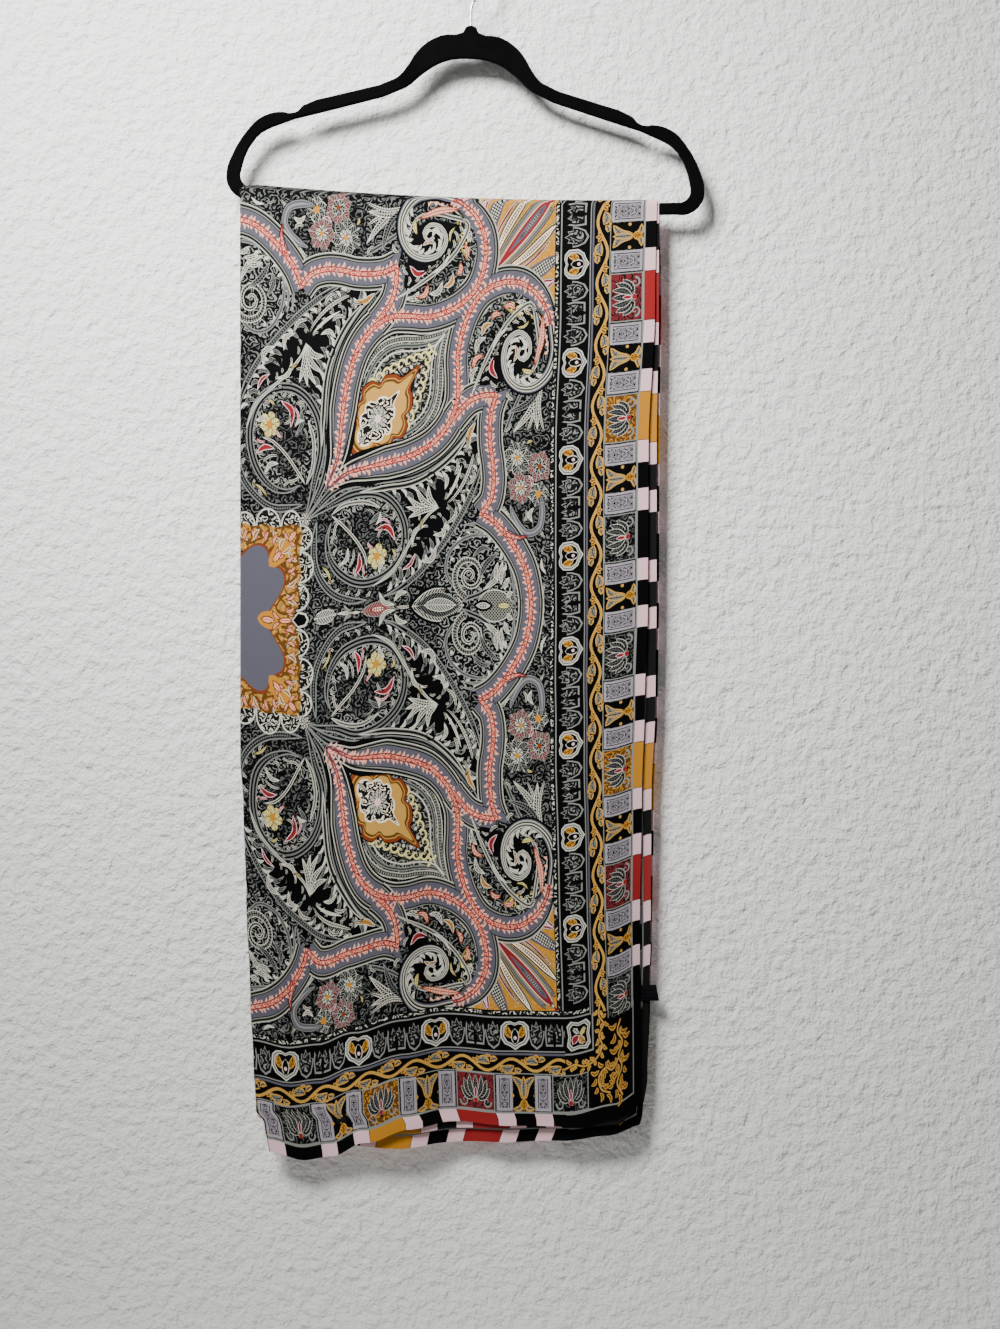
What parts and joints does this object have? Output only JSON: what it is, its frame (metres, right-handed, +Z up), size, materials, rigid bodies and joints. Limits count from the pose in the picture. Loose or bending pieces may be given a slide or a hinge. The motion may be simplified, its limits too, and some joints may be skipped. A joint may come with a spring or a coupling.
{
  "type": "oblong scarf on a coat hanger",
  "caption": "Oblong printed shawl folded lengthwise and hung over the bar of a slim velvet coat hanger with a wire hook.",
  "frame": {"origin": "the point inside the top of the hook's curve that rests on the rail", "axes": "+Z up; the front of the shawl faces -Y; +X to the right as seen from the front"},
  "size_m": [0.4444, 0.0243, 1.1236],
  "materials": {
    "printed_cloth": "satin-faced light woven cloth with a fine all-over paisley print",
    "satin_tab": "plain black satin ribbon",
    "velvet": "black flocked velvet over a plastic core",
    "hook_steel": "bright plated wire"
  },
  "bodies": {
    "root": {"shawl_front_fall": "printed_cloth", "shawl_over_bar": "printed_cloth", "shawl_back_fall": "printed_cloth", "label_tab": "satin_tab", "hanger_body": "velvet", "hanger_hook": "hook_steel"}
  },
  "joints": []
}
